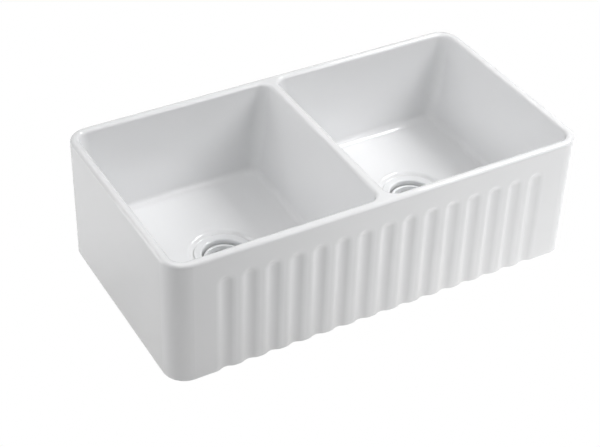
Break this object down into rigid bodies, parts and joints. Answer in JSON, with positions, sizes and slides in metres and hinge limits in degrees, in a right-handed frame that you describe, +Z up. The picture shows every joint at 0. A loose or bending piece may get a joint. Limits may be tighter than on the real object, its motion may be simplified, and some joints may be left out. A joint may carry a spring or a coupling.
{
  "type": "farmhouse apron front sink",
  "caption": "White fireclay double bowl kitchen sink with a fluted apron front, soft rounded rim and lift-out basket strainer wastes.",
  "frame": {"origin": "middle of the casting's underside, on the land between the two slots", "axes": "+X to the right along the apron as the user stands at it, +Y from the apron to the wall, +Z up"},
  "size_m": [0.838, 0.45, 0.368],
  "materials": {
    "glazed_fireclay": "gloss white glaze",
    "white_coated_metal": "gloss white powder coat",
    "white_rubber": "matt",
    "sealing_putty": "matt",
    "black_rubber": "matt",
    "fibre_board": "matt",
    "zinc_plated_metal": "satin zinc plate",
    "nylon": "satin",
    "white_plastic": "satin"
  },
  "bodies": {
    "sink": {"sink_body": "glazed_fireclay", "left_strainer_body": "white_coated_metal", "left_flange_seal": "sealing_putty", "left_rubber_gasket": "black_rubber", "left_friction_washer": "fibre_board", "left_locknut": "zinc_plated_metal", "left_tailpiece_washer": "nylon", "left_tailpiece": "white_plastic", "left_coupling_nut": "white_plastic", "right_strainer_body": "white_coated_metal", "right_flange_seal": "sealing_putty", "right_rubber_gasket": "black_rubber", "right_friction_washer": "fibre_board", "right_locknut": "zinc_plated_metal", "right_tailpiece_washer": "nylon", "right_tailpiece": "white_plastic", "right_coupling_nut": "white_plastic"},
    "left_basket": {"left_basket": "white_coated_metal", "left_basket_knob": "white_coated_metal", "left_basket_stopper": "white_rubber"},
    "right_basket": {"right_basket": "white_coated_metal", "right_basket_knob": "white_coated_metal", "right_basket_stopper": "white_rubber"}
  },
  "joints": [
    {"name": "left_basket_lift", "type": "slide", "parent": "sink", "child": "left_basket", "axis": [0, 0, 1], "range_m": [0, 0.3]},
    {"name": "right_basket_lift", "type": "slide", "parent": "sink", "child": "right_basket", "axis": [0, 0, 1], "range_m": [0, 0.3]}
  ]
}
